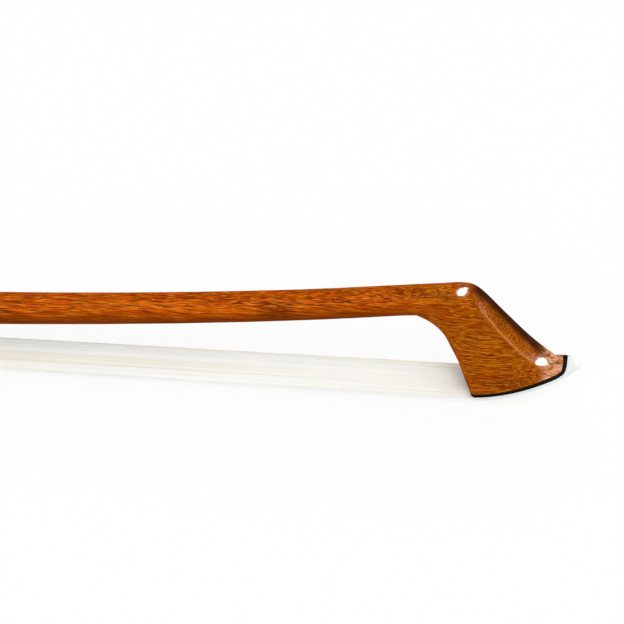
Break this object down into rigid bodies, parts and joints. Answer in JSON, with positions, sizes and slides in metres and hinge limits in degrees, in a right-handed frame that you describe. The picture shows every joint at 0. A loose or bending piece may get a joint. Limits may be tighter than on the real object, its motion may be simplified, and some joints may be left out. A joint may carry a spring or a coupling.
{
  "type": "violin bow",
  "caption": "Slackened violin bow with a cambered wooden stick, a pointed head, a hair ribbon and a frog drawn along by a screw",
  "frame": {"origin": "centre of the bow's bounding box in X and Y, at the height of its lowest point, the ferrule's front edge", "axes": "+X along the hair from the button to the head, +Z from the hair to the stick, Y across the bow"},
  "size_m": [0.7438, 0.0132, 0.0301],
  "materials": {
    "stick_wood": "varnished",
    "ebony": "polished",
    "bone": "polished bone",
    "silver": "polished silver alloy",
    "brass": "machined",
    "steel": "turned",
    "pearl": "mother of pearl",
    "hair": "undyed hair",
    "thread": "waxed thread",
    "plug_wood": "raw",
    "leather": "matt"
  },
  "bodies": {
    "stick": {"stick": "stick_wood", "head_liner": "ebony", "head_plate": "bone", "head_plug": "plug_wood", "head_hair_knot": "thread", "hair_ribbon": "hair", "thumb_leather": "leather", "grip_winding": "silver", "grip_end_band": "leather"},
    "frog": {"frog_block": "ebony", "frog_ferrule": "silver", "frog_hair_wedge": "plug_wood", "frog_hair_plug": "plug_wood", "frog_hair_knot": "thread", "slide_pearl": "pearl", "slide_backing": "ebony", "heel_plate_base": "silver", "heel_plate_back": "silver", "heel_pin_1": "steel", "heel_pin_2": "steel", "eye_ring_right": "silver", "eye_ring_left": "silver", "eye_pearl_right": "pearl", "eye_pearl_left": "pearl", "underslide": "silver", "underslide_screw_1": "steel", "underslide_screw_2": "steel", "screw_eyelet": "brass"},
    "screw": {"adjusting_screw": "steel", "button_collar": "silver", "button_core": "ebony", "button_cap": "silver", "button_pearl": "pearl"}
  },
  "joints": [
    {"name": "screw_turn", "type": "hinge", "parent": "stick", "child": "screw", "pos_m": [-0.37165, 0, 0.02571], "axis": [0.9984, 0, -0.0558], "range_deg": [0, 2880]},
    {"name": "frog_slide", "type": "slide", "parent": "stick", "child": "frog", "axis": [-0.9984, 0, 0.0558], "range_m": [0, 0.0056], "deforming": ["hair_ribbon"]}
  ],
  "couplings": [
    {"joint": "screw_turn", "follows": "frog_slide", "rad_per_m": 8976}
  ]
}
